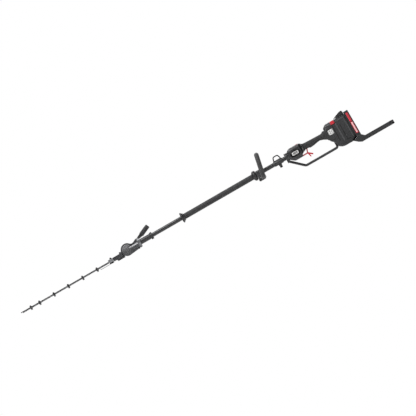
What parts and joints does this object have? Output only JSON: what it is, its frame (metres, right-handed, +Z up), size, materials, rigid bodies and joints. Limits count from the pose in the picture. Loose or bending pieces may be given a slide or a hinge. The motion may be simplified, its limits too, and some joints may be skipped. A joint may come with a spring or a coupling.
{
  "type": "long-reach hedge trimmer",
  "caption": "Long-reach cordless hedge trimmer with a tilting double-sided cutter bar, shaft with loop handle, trigger grip and an empty battery bay with a rear guard.",
  "frame": {"origin": "under the middle of the tool, on the plane that the rear guard rests on", "axes": "+X along the shaft towards the battery end, +Y to the user's right, +Z up, with the loop handle on top"},
  "size_m": [2.429, 0.1608, 0.2546],
  "materials": {
    "blade_steel": "ground steel",
    "bar_steel": "dark ground steel",
    "fastener_steel": "zinc-plated",
    "cast_grey": "die-cast, bead-blasted",
    "flange_light": "machined",
    "gear_steel": "oiled",
    "tube_black": "black anodised",
    "black_plastic": "fine moulded texture",
    "grey_plastic": "fine moulded texture",
    "soft_black": "soft over-mould",
    "red_plastic": "satin",
    "bush_plastic": "natural nylon",
    "copper_steel": "wound stator",
    "board_green": "lacquered"
  },
  "bodies": {
    "shaft": {"pivot_pin": "fastener_steel", "knuckle_case": "cast_grey", "case_flange": "flange_light", "ball_bearings": "gear_steel", "hinge_pins": "fastener_steel", "stub_sleeve": "black_plastic", "tube_clamp": "black_plastic", "clamp_screws": "fastener_steel", "shaft_tube": "tube_black", "shaft_bushes": "bush_plastic", "front_collar": "black_plastic", "guide_sleeve": "soft_black", "rear_collar": "black_plastic", "loop_clamp_top": "grey_plastic", "loop_clamp_base": "grey_plastic", "loop_clamp_plate": "black_plastic", "loop_screws": "fastener_steel", "loop_handle": "soft_black", "nose_collar": "grey_plastic", "hand_guard": "grey_plastic", "motor_housing_left": "grey_plastic", "motor_housing_right": "grey_plastic", "motor_stator": "copper_steel", "motor_mounts": "cast_grey", "grip_left": "soft_black", "grip_right": "soft_black", "trigger_switch": "black_plastic", "rear_housing_left": "grey_plastic", "rear_housing_right": "grey_plastic", "battery_frame": "black_plastic", "terminal_block": "black_plastic", "control_board": "board_green", "side_strips": "red_plastic", "rear_guard": "grey_plastic", "guard_pad": "soft_black"},
    "head": {"guide_bar": "bar_steel", "blade_bolts": "fastener_steel", "bar_block": "flange_light", "blade_shoe": "flange_light", "head_case": "cast_grey", "head_cover": "black_plastic", "cover_screws": "fastener_steel"},
    "upper_blade": {"upper_blade": "blade_steel"},
    "lower_blade": {"lower_blade": "blade_steel"},
    "crank": {"crank_gear": "gear_steel"},
    "bevel_shaft": {"bevel_shaft": "gear_steel"},
    "hub_gear": {"hub_bevel": "gear_steel"},
    "drive_line": {"drive_pinion": "gear_steel", "drive_shaft": "gear_steel", "motor_rotor": "gear_steel"},
    "lever": {"lever_arm": "black_plastic", "lever_grip": "soft_black"},
    "harness": {"harness_clamp": "grey_plastic", "harness_eye": "tube_black"},
    "knob": {"harness_knob": "black_plastic"},
    "trigger": {"trigger": "red_plastic"},
    "power_button": {"power_button": "red_plastic"},
    "mode_button": {"mode_button": "red_plastic"},
    "latch": {"battery_latch": "black_plastic"}
  },
  "joints": [
    {"name": "head_tilt", "type": "hinge", "parent": "shaft", "child": "head", "pos_m": [-0.498, 0, 0.14], "axis": [0, 1, 0], "range_deg": [-90, 45]},
    {"name": "upper_blade_slide", "type": "slide", "parent": "head", "child": "upper_blade", "axis": [1, 0, 0], "range_m": [-0.005, 0.005]},
    {"name": "lower_blade_slide", "type": "slide", "parent": "head", "child": "lower_blade", "axis": [1, 0, 0], "range_m": [-0.005, 0.005]},
    {"name": "drive_spin", "type": "hinge", "parent": "shaft", "child": "drive_line", "pos_m": [0, 0, 0.14], "axis": [1, 0, 0], "continuous": true},
    {"name": "hub_spin", "type": "hinge", "parent": "shaft", "child": "hub_gear", "pos_m": [-0.498, 0, 0.14], "axis": [0, 1, 0], "continuous": true},
    {"name": "bevel_shaft_spin", "type": "hinge", "parent": "head", "child": "bevel_shaft", "pos_m": [-0.518, 0, 0.14], "axis": [1, 0, 0], "continuous": true},
    {"name": "crank_spin", "type": "hinge", "parent": "head", "child": "crank", "pos_m": [-0.552, 0, 0.112], "axis": [0, 0, 1], "continuous": true},
    {"name": "lever_squeeze", "type": "hinge", "parent": "shaft", "child": "lever", "pos_m": [-0.418, 0, 0.1585], "axis": [0, 1, 0], "range_deg": [0, 4], "stiffness_Nm_per_rad": 2, "springref_deg": -8.59},
    {"name": "trigger_squeeze", "type": "hinge", "parent": "shaft", "child": "trigger", "pos_m": [0.659, 0, 0.1015], "axis": [0, 1, 0], "range_deg": [-10, 0], "stiffness_Nm_per_rad": 0.5, "springref_deg": 5.73},
    {"name": "power_press", "type": "slide", "parent": "shaft", "child": "power_button", "axis": [0, 0, 1], "range_m": [-0.0015, 0], "stiffness_N_per_m": 400, "springref_m": 0.001},
    {"name": "mode_press", "type": "slide", "parent": "shaft", "child": "mode_button", "axis": [0, 0, 1], "range_m": [-0.0025, 0], "stiffness_N_per_m": 500, "springref_m": 0.001},
    {"name": "latch_lift", "type": "hinge", "parent": "shaft", "child": "latch", "pos_m": [0.9319, 0, 0.198], "axis": [0, 1, 0], "range_deg": [-15, 0], "stiffness_Nm_per_rad": 1, "springref_deg": 8.59},
    {"name": "harness_slide", "type": "slide", "parent": "shaft", "child": "harness", "axis": [1, 0, 0], "range_m": [-0.07, 0.018]},
    {"name": "knob_turn", "type": "hinge", "parent": "harness", "child": "knob", "pos_m": [0.5186, 0, 0.11], "axis": [0, 0, 1], "range_deg": [-360, 0]}
  ],
  "couplings": [
    {"joint": "lower_blade_slide", "follows": "upper_blade_slide", "ratio": -1},
    {"joint": "hub_spin", "follows": "drive_spin", "ratio": 0.5},
    {"joint": "bevel_shaft_spin", "follows": "drive_spin", "ratio": -1},
    {"joint": "crank_spin", "follows": "drive_spin", "ratio": -0.3}
  ]
}
